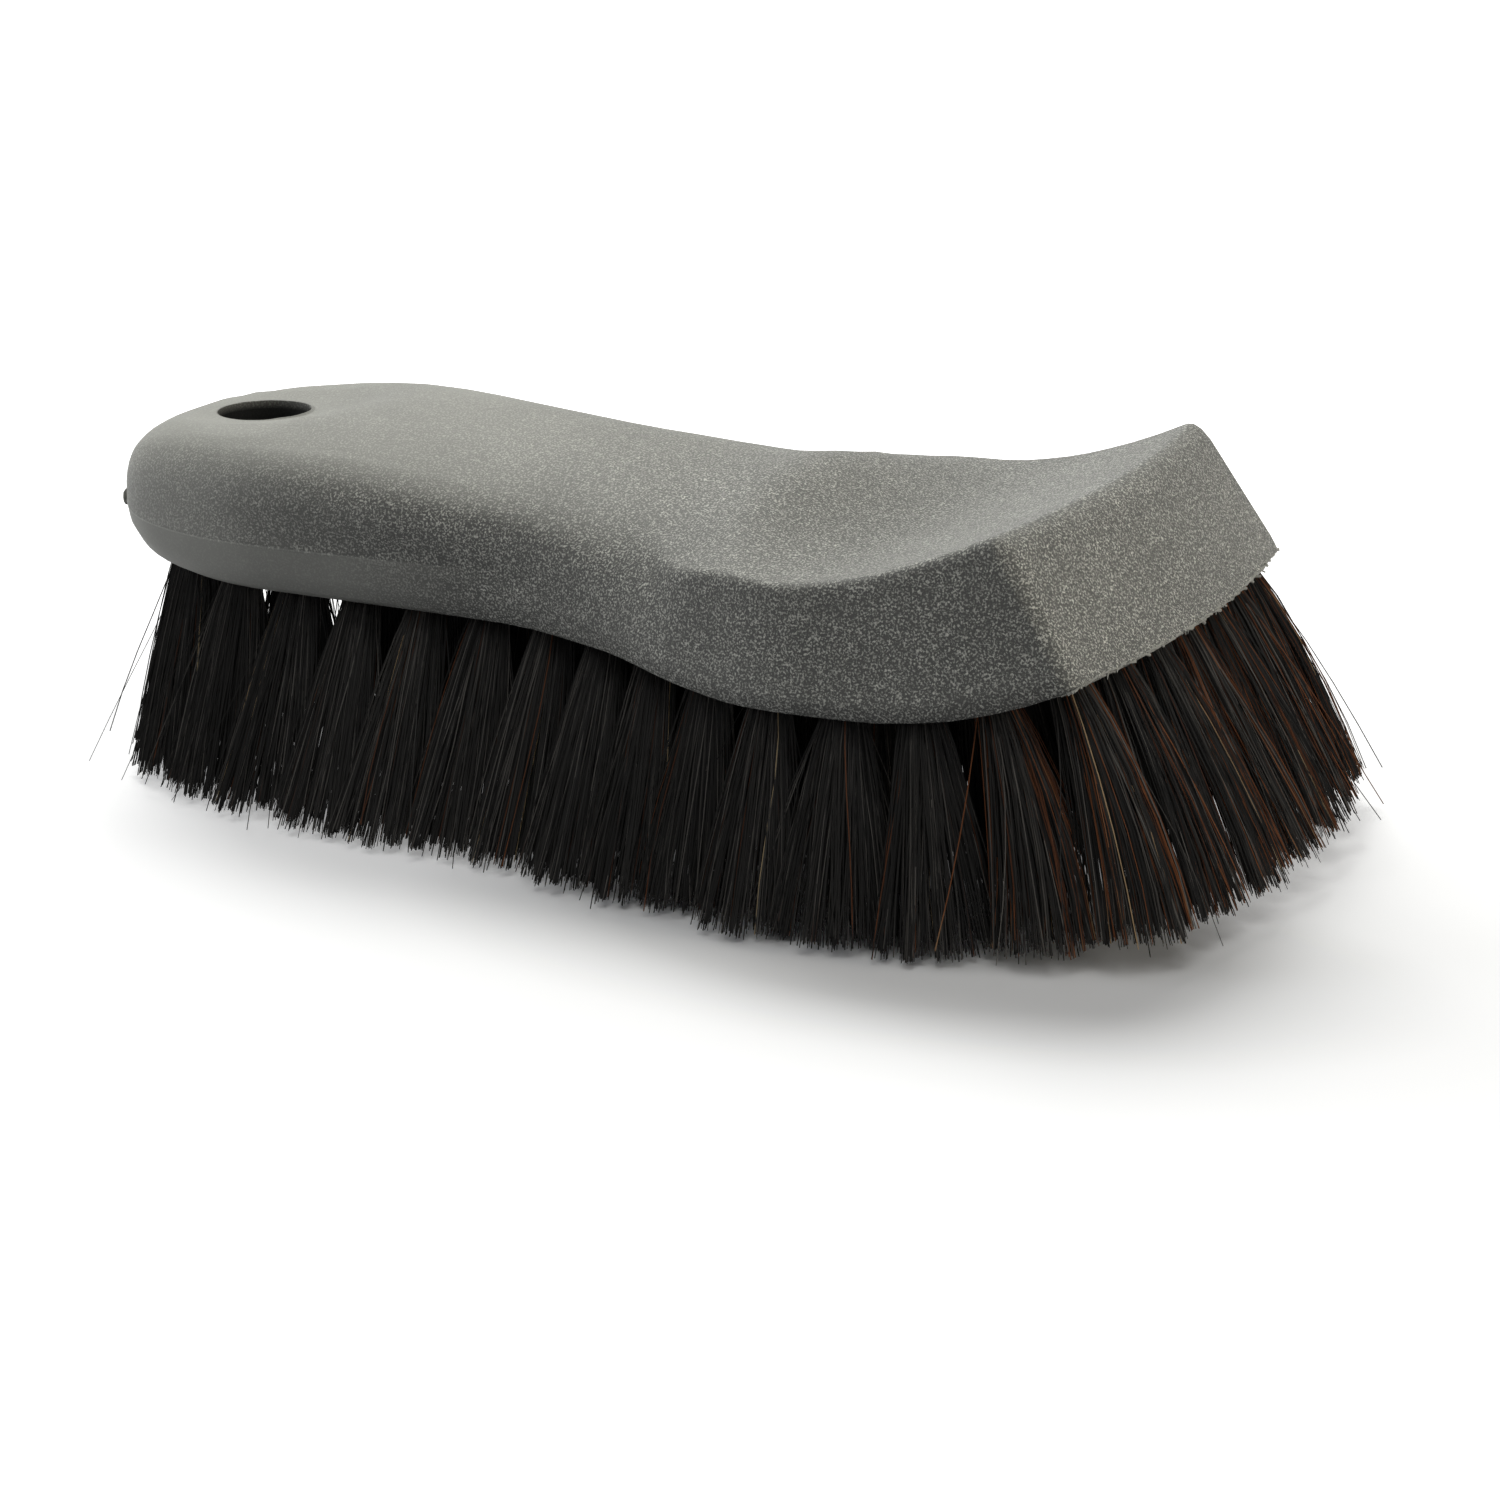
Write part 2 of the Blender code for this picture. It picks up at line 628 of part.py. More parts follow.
def make_tuft(x, y, number, material, collection):
    """One hair tuft: folded root with its anchor in the hole, and strands down to the floor."""
    root, axis = tuft_axis(x, y)
    turned = facing(axis)
    radius = bundle_radius()
    bottom = root - axis * (TUFT_HOLE_DEPTH - SEAT_GAP)
    bm = bmesh.new()
    deep = bundle_ring(bm, bottom, turned, radius - FOLD_NARROWING)
    fold = bundle_ring(bm, bottom + axis * FOLD_HEIGHT, turned, radius)
    mouth = bundle_ring(bm, root - axis * SEAT_GAP, turned, radius)
    centre = bm.verts.new(root - axis * SEAT_GAP)
    bm.faces.new(deep)
    fold_faces = bridge(bm, deep, fold)
    bridge(bm, fold, mouth)
    feet = [bm.faces.new((centre, a, b)) for a, b in zip(mouth, mouth[1:] + mouth[:1])]
    bmesh.ops.recalc_face_normals(bm, faces=bm.faces)
    add_anchor_ends(bm, fold_faces)
    bmesh.ops.inset_individual(bm, faces=feet, thickness=STRAND_INSET, depth=0)
    for index, foot in enumerate(feet):
        draw_strand(bm, foot, strand_tip(root, axis, index, number))
    return new_object(f"hair_tuft_{number:02d}", bm, material, collection)


def main():
    for obj in list(bpy.data.objects):
        bpy.data.objects.remove(obj)
    scene = bpy.context.scene
    parts = bpy.data.collections.new("horsehair_brush")
    cutters = bpy.data.collections.new("cutters")
    scene.collection.children.link(parts)
    scene.collection.children.link(cutters)
    places = tuft_places()
    print(len(places), "tufts")
    block = make_block(parts)
    hang = make_hanging_drill(cutters)
    drills = make_tuft_drills(places, cutters)
    for cutter in (hang, drills):
        cutter.hide_render = True
        cutter.display_type = "WIRE"
    add_cut(block, hang, "hanging_hole")
    round_sharp_edges(block)
    add_cut(block, drills, "tuft_holes")
    hair = make_material("black_horsehair", (0.012, 0.01, 0.009), 0.5)
    for number, (x, y) in enumerate(places, 1):
        make_tuft(x, y, number, hair, parts)


main()
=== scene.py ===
# %% [markdown]
# A palm-grip brush has two very different halves. The grip is one block of grey
# plastic out of a mould, and the working half is thousands of black horse hairs.
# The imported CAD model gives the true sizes, so it is loaded first and everything
# below is fitted to it.

# %% Load the CAD frame
import math

import bmesh
import bpy
import numpy as np
from mathutils import Matrix, Vector


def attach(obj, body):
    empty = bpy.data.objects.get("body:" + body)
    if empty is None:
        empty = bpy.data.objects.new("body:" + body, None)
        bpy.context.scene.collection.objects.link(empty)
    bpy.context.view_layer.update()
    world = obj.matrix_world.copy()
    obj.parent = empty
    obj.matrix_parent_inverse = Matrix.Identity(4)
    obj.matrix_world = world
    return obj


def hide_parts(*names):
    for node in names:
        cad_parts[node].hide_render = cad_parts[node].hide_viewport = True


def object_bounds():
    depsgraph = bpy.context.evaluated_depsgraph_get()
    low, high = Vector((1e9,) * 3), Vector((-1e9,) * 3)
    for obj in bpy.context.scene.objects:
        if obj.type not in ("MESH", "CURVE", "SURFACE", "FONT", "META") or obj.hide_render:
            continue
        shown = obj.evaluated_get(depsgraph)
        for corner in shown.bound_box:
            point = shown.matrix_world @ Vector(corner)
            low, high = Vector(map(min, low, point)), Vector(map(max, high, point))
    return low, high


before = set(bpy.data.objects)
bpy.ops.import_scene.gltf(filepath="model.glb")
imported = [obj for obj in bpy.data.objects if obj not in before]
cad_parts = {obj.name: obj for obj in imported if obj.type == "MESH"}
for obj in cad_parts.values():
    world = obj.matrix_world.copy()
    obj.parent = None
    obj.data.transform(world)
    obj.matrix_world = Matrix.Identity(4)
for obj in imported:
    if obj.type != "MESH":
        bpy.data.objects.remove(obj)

MM = 0.001
cad_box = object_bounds()
print("CAD box", [round(v / MM, 1) for corner in cad_box for v in corner], "mm")

# %% [markdown]
# Materials are built from nodes, and a tree of nodes gets long when every node is
# written out. A few small helpers keep it readable. Each one adds a node, fills
# its inputs and links it to what feeds it.

# %% Node helpers
def add_node(tree, kind, settings=None, **values):
    """New node of a kind, with its settings and its named input values."""
    node = tree.nodes.new(kind)
    for key, value in (settings or {}).items():
        setattr(node, key, value)
    for key, value in values.items():
        node.inputs[key.replace("_", " ")].default_value = value
    return node


def link(tree, source, output, target, socket):
    """Feed an output of one node into an input of another."""
    tree.links.new(source.outputs[output], target.inputs[socket])


def combine(tree, operation, *terms):
    """Math node. Each term is a number, or a node and the name of its output."""
    node = add_node(tree, "ShaderNodeMath", {"operation": operation})
    for place, term in enumerate(terms):
        if isinstance(term, tuple):
            link(tree, *term, node, place)
        else:
            node.inputs[place].default_value = term
    return node


def rescale(tree, source, output, low, high, to_low=0.0, to_high=1.0, **settings):
    """Node that maps low to to_low and high to to_high, and stays between them."""
    node = add_node(
        tree, "ShaderNodeMapRange", settings,
        From_Min=low, From_Max=high, To_Min=to_low, To_Max=to_high)
    link(tree, source, output, node, "Value")
    return node


def vector_math(tree, operation, source, output, value):
    """Vector Math node of another node's output and a fixed vector."""
    node = add_node(tree, "ShaderNodeVectorMath", {"operation": operation})
    link(tree, source, output, node, 0)
    node.inputs[1].default_value = value
    return node


def shade_colour(tree, colour, colour_output, factor, factor_output):
    """Colour made lighter or darker by a factor."""
    node = add_node(tree, "ShaderNodeVectorMath", {"operation": "SCALE"})
    link(tree, colour, colour_output, node, 0)
    link(tree, factor, factor_output, node, "Scale")
    return node


def fill_ramp(ramp, stops):
    """Give a colour ramp its positions and colours."""
    elements = ramp.color_ramp.elements
    while len(elements) < len(stops):
        elements.new(0.5)
    for element, (position, colour) in zip(elements, stops):
        element.position = position
        element.color = colour


def start_material(name, roughness, specular):
    """Material with its node tree and its Principled shader."""
    material = bpy.data.materials.new(name)
    material.use_nodes = True
    shader = material.node_tree.nodes["Principled BSDF"]
    shader.inputs["Roughness"].default_value = roughness
    shader.inputs["Specular IOR Level"].default_value = specular
    return material, material.node_tree, shader


print("node helpers ready")

# %% [markdown]
# The mould of the block was spark eroded, which leaves a skin of tiny even pits.
# They catch the light as pale flecks about 0.3 mm apart. Real relief would need
# millions of faces for pits this small, so noise nodes make them in the material.
# One node group gives both the flecks and the height of the pits. Colour and
# relief then always agree, and every plastic finish can use it.

# %% Spark grain group
GRAINS_PER_METRE = 3600
GRAIN_DETAIL = 2.0
GRAIN_ROUGHNESS = 0.62
FLECK_EDGE = (0.47, 0.68)
PATCHES_PER_METRE = 800.0
PATCH_STRENGTH = (0.6, 1.0)
NOISE_RANGE = (0.3, 0.7)


def make_grain_group():
    """Flecks and pit height of spark-eroded plastic, from a position in metres."""
    group = bpy.data.node_groups.new("spark_grain", "ShaderNodeTree")
    face = group.interface
    face.new_socket("Position", in_out="INPUT", socket_type="NodeSocketVector")
    face.new_socket("Grains per Metre", in_out="INPUT", socket_type="NodeSocketFloat")
    face.new_socket("Fleck", in_out="OUTPUT", socket_type="NodeSocketFloat")
    face.new_socket("Height", in_out="OUTPUT", socket_type="NodeSocketFloat")
    start = add_node(group, "NodeGroupInput")
    end = add_node(group, "NodeGroupOutput")
    pits = add_node(group, "ShaderNodeTexNoise", Detail=GRAIN_DETAIL, Roughness=GRAIN_ROUGHNESS)
    coarse = add_node(group, "ShaderNodeTexNoise", Scale=PATCHES_PER_METRE, Detail=1.0)
    link(group, start, "Position", pits, "Vector")
    link(group, start, "Grains per Metre", pits, "Scale")
    link(group, start, "Position", coarse, "Vector")
    fleck = rescale(group, pits, "Fac", *FLECK_EDGE, interpolation_type="SMOOTHSTEP")
    patch = rescale(group, coarse, "Fac", *NOISE_RANGE, *PATCH_STRENGTH)
    both = combine(group, "MULTIPLY", (fleck, "Result"), (patch, "Result"))
    link(group, both, "Value", end, "Fleck")
    link(group, pits, "Fac", end, "Height")
    return group


grain = make_grain_group()
print("grain group with", len(grain.nodes), "nodes")

# %% [markdown]
# The plastic itself is a dark grey with a slight olive tint, and its pits show
# as paler flecks. The grain is crisp on the side walls, softer on the worn top and
# nearly gone under the parting line of the tail. A painted picture could hold its
# strength, but would need the block unwrapped, so it comes from an attribute of
# the block, which a later cell fills. Broad soft blotches come from the way the
# melt cooled.

# %% Grey moulded plastic
PLASTIC_DARK = (0.108, 0.109, 0.103, 1)
PLASTIC_LIGHT = (0.73, 0.73, 0.67, 1)
MEAN_FLECK = 0.36
SMOOTH_BELOW = 37.0 * MM
SMOOTH_EDGE = 0.3 * MM
SMOOTH_BEHIND = -42.0 * MM
SMOOTH_FADE = 22.0 * MM
SMOOTH_GRAIN = 0.2
BLOTCHES_PER_METRE = 75.0
BLOTCH_TONES = (0.92, 1.08)


def smooth_tail_mask(tree, parts):
    """Low on the smooth underside of the tail, 1 everywhere else."""
    above = rescale(tree, parts, "Z", SMOOTH_BELOW - SMOOTH_EDGE, SMOOTH_BELOW + SMOOTH_EDGE)
    ahead = rescale(tree, parts, "X", SMOOTH_BEHIND, SMOOTH_BEHIND + SMOOTH_FADE)
    either = combine(tree, "MAXIMUM", (above, "Result"), (ahead, "Result"))
    return rescale(tree, either, "Value", 0, 1, SMOOTH_GRAIN, 1)


def grain_strength(tree, parts):
    """Painted strength of the grain, with the smooth underside of the tail taken out."""
    painted = add_node(tree, "ShaderNodeAttribute", {"attribute_name": "grain_strength"})
    mask = smooth_tail_mask(tree, parts)
    return combine(tree, "MULTIPLY", (painted, "Fac"), (mask, "Result"))


def fleck_colour(tree, pits, strength):
    """Dark plastic with pale flecks. Where the grain is weak, both come near their mean."""
    centred = combine(tree, "SUBTRACT", (pits, "Fleck"), MEAN_FLECK)
    scaled = combine(tree, "MULTIPLY_ADD", (centred, "Value"), (strength, "Value"), MEAN_FLECK)
    blend = add_node(tree, "ShaderNodeMix", {"data_type": "RGBA"})
    blend.inputs["A"].default_value = PLASTIC_DARK
    blend.inputs["B"].default_value = PLASTIC_LIGHT
    link(tree, scaled, "Value", blend, "Factor")
    return blend


def add_blotches(tree, place, colour):
    """Slow change of tone over the surface."""
    blotch = add_node(tree, "ShaderNodeTexNoise", Scale=BLOTCHES_PER_METRE, Detail=2.5)
    link(tree, place, "Object", blotch, "Vector")
    tone = rescale(tree, blotch, "Fac", *NOISE_RANGE, *BLOTCH_TONES)
    return shade_colour(tree, colour, "Result", tone, "Result")


print("smooth tail below", round(SMOOTH_BELOW / MM, 1), "mm")

# %% [markdown]
# Two small things are painted onto the plain plastic. Where the halves of the mould
# meet round the tail, a hair-thin pale line is painted as a highlight. The hanging
# hole is painted dark inside as shade, because little light gets down the bore. Both
# depend only on the place on the block, so masks on its own coordinates draw them.

# %% Painted highlight on the parting line and painted shade in the bore
LINE_WIDTH = 0.16 * MM
# painted highlight: the colour is made paler along the parting line
LINE_HIGHLIGHT = 1.35
HOLE_PLACE = (-67.7 * MM, 0, 0)
HOLE_REACH = 6.95 * MM
HOLE_EDGE = 0.05 * MM
BORE_FADE = (48.4 * MM, 50.0 * MM)
# painted shade: the colour inside the hanging hole is darkened
BORE_PAINTED_SHADE = 0.03


def parting_line_highlight(tree, parts):
    """Painted highlight: factor on the colour, above 1 on the thin line round the tail, 1 elsewhere.
    """
    below = combine(tree, "SUBTRACT", (parts, "Z"), SMOOTH_BELOW)
    away = combine(tree, "ABSOLUTE", (below, "Value"))
    line = rescale(tree, away, "Value", LINE_WIDTH / 2, LINE_WIDTH, LINE_HIGHLIGHT - 1, 0)
    tail = rescale(tree, parts, "X", SMOOTH_BEHIND, SMOOTH_BEHIND + SMOOTH_FADE, 1, 0)
    return combine(tree, "MULTIPLY_ADD", (line, "Result"), (tail, "Result"), 1)


def painted_bore_shade(tree, place, parts):
    """Painted shade: factor on the colour, low inside the hanging hole, 1 elsewhere."""
    flat = vector_math(tree, "MULTIPLY", place, "Object", (1, 1, 0))
    away = vector_math(tree, "DISTANCE", flat, "Vector", HOLE_PLACE)
    outside = rescale(tree, away, "Value", HOLE_REACH - HOLE_EDGE, HOLE_REACH + HOLE_EDGE)
    depth = rescale(tree, parts, "Z", *BORE_FADE, BORE_PAINTED_SHADE, 1)
    return combine(tree, "MAXIMUM", (outside, "Result"), (depth, "Result"))


print("parting line", round(LINE_WIDTH / MM, 2), "mm wide")

# %% [markdown]
# Now the parts come together: flecks, blotches, the painted highlight of the line and
# the painted shade of the bore in the base colour, and the pits as a bump.

# %% The whole plastic
GRAIN_DEPTH = 0.15 * MM
GRAIN_RELIEF = 0.6
PLASTIC_ROUGHNESS = 0.6
PLASTIC_SPECULAR = 0.2


def make_plastic():
    """Grey moulded plastic with spark grain."""
    material, tree, shader = start_material(
        "grey_moulded_plastic", PLASTIC_ROUGHNESS, PLASTIC_SPECULAR)
    place = add_node(tree, "ShaderNodeTexCoord")
    parts = add_node(tree, "ShaderNodeSeparateXYZ")
    link(tree, place, "Object", parts, "Vector")
    pits = add_node(tree, "ShaderNodeGroup", {"node_tree": grain}, Grains_per_Metre=GRAINS_PER_METRE)
    link(tree, place, "Object", pits, "Position")
    strength = grain_strength(tree, parts)
    colour = add_blotches(tree, place, fleck_colour(tree, pits, strength))
    for factor in (parting_line_highlight(tree, parts), painted_bore_shade(tree, place, parts)):
        colour = shade_colour(tree, colour, "Vector", factor, "Value")
    link(tree, colour, "Vector", shader, "Base Color")
    height = combine(tree, "MULTIPLY", (pits, "Height"), (strength, "Value"))
    bump = add_node(tree, "ShaderNodeBump", Strength=GRAIN_RELIEF, Distance=GRAIN_DEPTH)
    link(tree, height, "Value", bump, "Height")
    link(tree, bump, "Normal", shader, "Normal")
    return material


plastic = make_plastic()
print("plastic with", len(plastic.node_tree.nodes), "nodes")

# %% [markdown]
# Horse hair is not one colour. Most of it is close to black, a few hairs are
# chestnut or amber, and the cut ends show a lighter core. A material for each tint
# would be hard to keep in step, so each hair carries a number from 0 to 1 in an
# attribute of its mesh, and a colour ramp turns it into a tint. One material then
# serves every hair.

# %% Horse hair
HAIR_TINTS = (
    (0.0, (0.0048, 0.0047, 0.0046, 1)),
    (0.25, (0.022, 0.021, 0.020, 1)),
    # painted highlight: grey tint for hairs that stand for light caught on them
    (0.4, (0.135, 0.127, 0.119, 1)),
    (0.5, (0.040, 0.018, 0.012, 1)),
    (0.72, (0.215, 0.080, 0.034, 1)),
    (1.0, (0.56, 0.44, 0.27, 1)),
)
HAIR_ROUGHNESS = (0.34, 0.5)
HAIR_SPECULAR = 0.1
WEAR_PER_METRE = 400.0


def make_hair_material():
    """Horse hair whose tint follows the hair_shade attribute."""
    material, tree, shader = start_material("black_horsehair", sum(HAIR_ROUGHNESS) / 2, HAIR_SPECULAR)
    shade = add_node(tree, "ShaderNodeAttribute", {"attribute_name": "hair_shade"})
    ramp = add_node(tree, "ShaderNodeValToRGB")
    fill_ramp(ramp, HAIR_TINTS)
    link(tree, shade, "Fac", ramp, "Fac")
    link(tree, ramp, "Color", shader, "Base Color")
    place = add_node(tree, "ShaderNodeTexCoord")
    wear = add_node(tree, "ShaderNodeTexNoise", Scale=WEAR_PER_METRE, Detail=2.0)
    link(tree, place, "Object", wear, "Vector")
    gloss = rescale(tree, wear, "Fac", *NOISE_RANGE, *HAIR_ROUGHNESS)
    link(tree, gloss, "Result", shader, "Roughness")
    return material


hair_material = make_hair_material()
print("hair material with", len(HAIR_TINTS), "tints")

# %% [markdown]
# The block's CAD mesh already has its true shape, its hanging hole and every
# drilled hole, but it is loose flat triangles. Modelling it afresh could lose the
# fit of the holes, so a merged copy is shaded smooth. Edges that turn more than a
# set angle stay sharp, so the drilled holes keep their crisp rims, and weighted
# normals keep the broad faces calm beside their small rounded edges. The real grip
# is a little squarer than an oval, so the copy's flanks swell by up to 2.2 mm
# between its top and its sides. The swell fades out at the parting line.

# %% Moulded block
MERGE_WITHIN = 0.002 * MM
SHARP_ANGLE = math.radians(38)
SWELL = 2.2 * MM
SWELL_SCALE = 10.9
SWELL_HEIGHTS = (36 * MM, 42 * MM)
GRIP_STARTS = (-66 * MM, -50 * MM)
GRIP_ENDS = (-12 * MM, 12 * MM)


def ramp_up(value, low, high):
    """0 below the low end, 1 above the high end, straight in between."""
    return min(max((value - low) / (high - low), 0), 1)


def square_the_grip(bm):
    """Push the flanks of the grip out by up to SWELL. SWELL_SCALE brings the bump's peak to 1."""
    bm.normal_update()
    for vert in bm.verts:
        slope = min(max(vert.normal.z, 0), 1)
        bump = SWELL_SCALE * slope**1.5 * (1 - slope) ** 2
        grip = ramp_up(vert.co.x, *GRIP_STARTS) * (1 - ramp_up(vert.co.x, *GRIP_ENDS))
        grip *= ramp_up(vert.co.z, *SWELL_HEIGHTS)
        vert.co += vert.normal * SWELL * bump * grip
    bm.normal_update()


def link_piece(name, bm, material):
    """Finish a bmesh as a piece of the brush that rides on its one rigid body."""
    mesh = bpy.data.meshes.new(name)
    bm.to_mesh(mesh)
    bm.free()
    mesh.materials.append(material)
    piece = bpy.data.objects.new(name, mesh)
    bpy.context.scene.collection.objects.link(piece)
    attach(piece, "root")
    return piece


def shade_block(node):
    """Merged, smooth-shaded copy of the block's CAD mesh."""
    bm = bmesh.new()
    bm.from_mesh(node.data)
    bm.transform(node.matrix_world)
    bmesh.ops.remove_doubles(bm, verts=bm.verts, dist=MERGE_WITHIN)
    square_the_grip(bm)
    for face in bm.faces:
        face.smooth = True
    for edge in bm.edges:
        edge.smooth = edge.calc_face_angle(0) < SHARP_ANGLE
    return link_piece("block_skin", bm, plastic)


block = shade_block(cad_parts["moulded_block"])
calm = block.modifiers.new("calm_faces", "WEIGHTED_NORMAL")
calm.keep_sharp = True
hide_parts("moulded_block")
print("block with", len(block.data.polygons), "faces")

# %% [markdown]
# The top of the handle is worn smooth by the palm, while the top of the head keeps
# most of its grain. The grain also fades towards the end of the tail. It could be
# painted by hand, but these simple facts give it exactly, vertex by vertex: which
# way the surface faces, and how far along the block it lies.

# %% Grain strength
FACES_UP = (0.6, 0.92)
WORN_HANDLE_TOP = 0.35
WORN_HEAD_TOP = 0.9
HANDLE_TO_HEAD = (-30 * MM, 10 * MM)
WORN_TAIL = 0.4
TAIL_TO_HANDLE = (-75 * MM, -30 * MM)


def paint_grain(piece):
    """Strength of the grain at every vertex."""
    mesh = piece.data
    values = []
    for vert in mesh.vertices:
        up = ramp_up(vert.normal.z, *FACES_UP)
        head = ramp_up(vert.co.x, *HANDLE_TO_HEAD)
        handle = ramp_up(vert.co.x, *TAIL_TO_HANDLE)
        top = WORN_HANDLE_TOP + (WORN_HEAD_TOP - WORN_HANDLE_TOP) * head
        tail = WORN_TAIL + (1 - WORN_TAIL) * handle
        values.append((1 - (1 - top) * up) * tail)
    layer = mesh.attributes.new("grain_strength", "FLOAT", "POINT")
    layer.data.foreach_set("value", values)
    return min(values), max(values)


print("grain from", [round(v, 2) for v in paint_grain(block)])

# %% [markdown]
# Plastic enters the mould at the end of the tail. Where the runner was broken
# off, a small rough nub stays. It is seen on the outline, where a bump in the
# material would not show, so it is a real piece: an icosphere, roughened a little
# and squashed against the tail.

# %% Gate nub
NUB_RADIUS = 0.75 * MM
NUB_ROUGHNESS = 0.18
NUB_SEED = 3
NUB_SQUASH = (0.5, 1.0, 1.7)
NUB_HEIGHT = 38.6 * MM
NUB_BAND = 1.2 * MM
NUB_SIDE = Vector((-0.9, -0.44, 0))


def make_gate_nub():
    """Broken-off gate at the end of the tail."""
    bm = bmesh.new()
    bmesh.ops.create_icosphere(bm, subdivisions=2, radius=NUB_RADIUS)
    rng = np.random.default_rng(NUB_SEED)
    for vert in bm.verts:
        vert.co *= 1 + NUB_ROUGHNESS * rng.uniform(-1, 1)
    near_side = [v.co for v in block.data.vertices if v.co.y < 0]
    level = [place for place in near_side if abs(place.z - NUB_HEIGHT) < NUB_BAND]
    spot = max(level, key=lambda place: place.dot(NUB_SIDE))
    squash = Matrix.Diagonal((*NUB_SQUASH, 1))
    bmesh.ops.transform(bm, matrix=Matrix.Translation(spot) @ squash, verts=bm.verts)
    return link_piece("gate_nub", bm, plastic)


nub = make_gate_nub()
print("gate nub", round(2 * NUB_RADIUS / MM, 2), "mm wide")

# %% [markdown]
# The mould leaks a little along the lower edge of the front face, and the torn
# skin stays there as flash. Noise on the edge itself would also bend the clean face
# above it, so tiny cones are laid along the edge instead, each a little tilted.
# The edge is found by its angle, which no other edge nearby has.

# %% Flash on the front edge
FLASH_BEYOND = 68 * MM
FLASH_BELOW = 38.6 * MM
FLASH_ANGLES = (math.radians(35), math.radians(60))
FLAKES_PER_EDGE = 5
FLAKE_SIDES = 5
FLAKE_LENGTH = 2.4 * MM
FLAKE_THICK = 0.24 * MM
FLAKE_POINT = 0.15
FLAKE_TILT = 0.35
FLAKE_THICKNESSES = (0.4, 1)
FLAKE_LENGTHS = (0.3, 1)
FLAKE_SEED = 5


def front_edges():
    """Both ends of every edge below the front face."""
    bm = bmesh.new()
    bm.from_mesh(block.data)
    ends = []
    for edge in bm.edges:
        ahead = min(vert.co.x for vert in edge.verts) > FLASH_BEYOND
        low = max(vert.co.z for vert in edge.verts) < FLASH_BELOW
        if ahead and low and FLASH_ANGLES[0] < edge.calc_face_angle(0) < FLASH_ANGLES[1]:
            ends.append([vert.co.copy() for vert in edge.verts])
    bm.free()
    return ends


def make_flash():
    """Ragged skin of plastic on the front edge."""
    bm = bmesh.new()
    rng = np.random.default_rng(FLAKE_SEED)
    for start, end in front_edges():
        along = (end - start).to_track_quat("Z", "Y").to_matrix().to_4x4()
        for _ in range(FLAKES_PER_EDGE):
            place = Matrix.Translation(start.lerp(end, rng.uniform(0, 1)))
            tilt = Matrix.Rotation(rng.normal(0, FLAKE_TILT), 4, "X")
            turn = Matrix.Rotation(rng.uniform(0, 2 * math.pi), 4, "Z")
            thick = FLAKE_THICK * rng.uniform(*FLAKE_THICKNESSES)
            length = FLAKE_LENGTH * rng.uniform(*FLAKE_LENGTHS)
            bmesh.ops.create_cone(
                bm, cap_ends=True, segments=FLAKE_SIDES, radius1=thick,
                radius2=FLAKE_THICK * FLAKE_POINT, depth=length, matrix=place @ along @ turn @ tilt)
    return link_piece("front_flash", bm, plastic)


flash = make_flash()
print("flash of", len(flash.data.polygons), "faces")

# %% [markdown]
# One hair is a very thin tube. Curves could draw it, but the brush is kept as plain
# meshes, which any program can read. So one hair is modelled as a triangle that is
# extruded along its length, and then copied. Three sides are enough for something
# a pixel wide, and levels along its length let each copy bend.

# %% One hair
HAIR_SIDES = 3
HAIR_LEVELS = 6


def make_hair_template():
    """Mesh of a straight hair of unit radius, one ring of vertices for each level."""
    bm = bmesh.new()
    bmesh.ops.create_circle(bm, cap_ends=False, segments=HAIR_SIDES, radius=1)
    rim = list(bm.edges)
    root_rim = rim
    for _ in range(HAIR_LEVELS - 1):
        made = bmesh.ops.extrude_edge_only(bm, edges=rim)["geom"]
        rim = [item for item in made if isinstance(item, bmesh.types.BMEdge)]
        risen = [item for item in made if isinstance(item, bmesh.types.BMVert)]
        bmesh.ops.translate(bm, vec=(0, 0, 1), verts=risen)
    bmesh.ops.contextual_create(bm, geom=root_rim)
    bmesh.ops.contextual_create(bm, geom=rim)
    bmesh.ops.recalc_face_normals(bm, faces=bm.faces)
    mesh = bpy.data.meshes.new("hair_template")
    bm.to_mesh(mesh)
    bm.free()
    return mesh


hair_template = make_hair_template()
print("one hair has", len(hair_template.polygons), "faces")

# %% [markdown]
# A tuft is a bundle of hairs folded double in a drilled hole. The CAD tuft says
# where it starts, where its tips end and which way its hole points. The bundle in
# the hole is longer than it is wide, so its long axis is found with a singular
# value decomposition of its points.

# %% Where each CAD tuft starts and ends
BUNDLE_REACH = 8.6 * MM
TIP_BAND = 1.0 * MM


def tuft_line(node):
    """Mouth of the hole, direction out of the hole, and centre of the tips."""
    points = np.array([node.matrix_world @ v.co for v in node.data.vertices])
    highest = points[points[:, 2].argmax()]
    bundle = points[np.linalg.norm(points - highest, axis=1) < BUNDLE_REACH]
    middle = bundle.mean(axis=0)
    axis = np.linalg.svd(bundle - middle)[2][0]
    axis *= -np.sign(axis[2])
    mouth = middle + axis * ((bundle - middle) @ axis).max()
    tips = points[points[:, 2] < points[:, 2].min() + TIP_BAND].mean(axis=0)
    return mouth, axis, tips


tuft_nodes = {name: node for name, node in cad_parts.items() if name.startswith("hair_tuft")}
tuft_lines = {name: tuft_line(node) for name, node in tuft_nodes.items()}
print(len(tuft_lines), "tufts")

# %% [markdown]
# A tuft on the rim fans out until it meets its neighbours, so its width along the
# rim comes from how far away their tips are. A tuft inside is simply round.

# %% How wide each tuft fans out
RIM_TUFTS = 37
TIP_SPREAD = 6.0 * MM
SHARE_OF_PITCH = 0.66
WIDEST = 9.5 * MM


